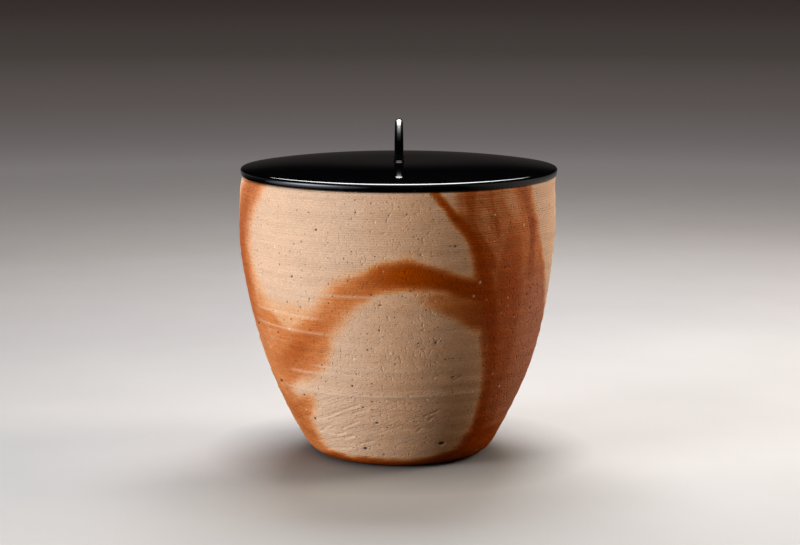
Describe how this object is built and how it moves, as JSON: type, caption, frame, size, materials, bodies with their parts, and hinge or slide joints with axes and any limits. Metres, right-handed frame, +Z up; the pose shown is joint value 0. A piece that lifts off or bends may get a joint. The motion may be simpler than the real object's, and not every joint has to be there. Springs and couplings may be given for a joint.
{
  "type": "fresh-water jar with lid",
  "caption": "Lidded fresh-water jar for the tea ceremony: a thrown, unglazed stoneware jar with straw fire marks and a black lacquered lid with a bridge handle.",
  "frame": {"origin": "middle of the jar's base, on the surface that it stands on", "axes": "+Z up along the jar's axis, with the handle's bridge along Y, so that it is seen end-on from the front (-Y)"},
  "size_m": [0.18, 0.18, 0.1911],
  "materials": {
    "stoneware": "matte",
    "black_lacquer": "polished"
  },
  "bodies": {
    "jar": {"jar": "stoneware"},
    "lid": {"lid": "black_lacquer", "lid_handle": "black_lacquer"}
  },
  "joints": [
    {"name": "lid_lift", "type": "slide", "parent": "jar", "child": "lid", "axis": [0, 0, 1], "range_m": [0, 0.18]}
  ]
}
